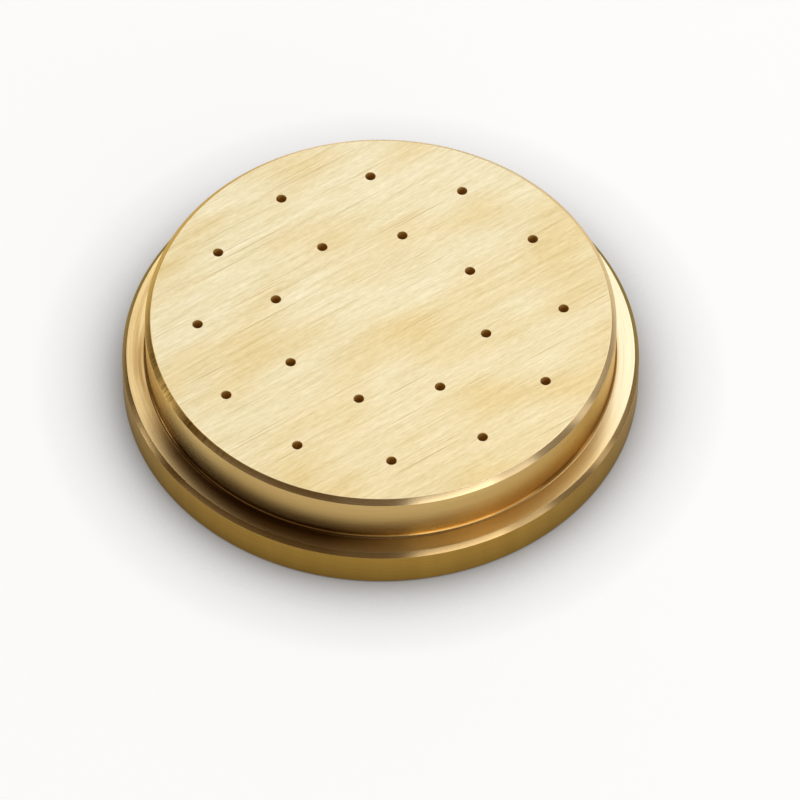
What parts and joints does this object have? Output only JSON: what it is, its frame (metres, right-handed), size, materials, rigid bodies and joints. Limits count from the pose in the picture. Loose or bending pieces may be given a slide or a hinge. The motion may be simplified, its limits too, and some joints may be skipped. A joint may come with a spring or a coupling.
{
  "type": "pasta extrusion die",
  "caption": "Turned brass extrusion die: a flanged disc with a raised, chamfered boss whose rings of fine nozzles, fed by wider inlet bores, shape dough into strands.",
  "frame": {"origin": "centre of the dough face, on the die's axis", "axes": "+Z along the die's axis, towards the boss face that the strands leave; +X through a nozzle of each ring"},
  "size_m": [0.078, 0.078, 0.0145],
  "materials": {
    "brass": "turned walls and a straight-brushed boss face"
  },
  "bodies": {
    "root": {"die_body": "brass"}
  },
  "joints": []
}
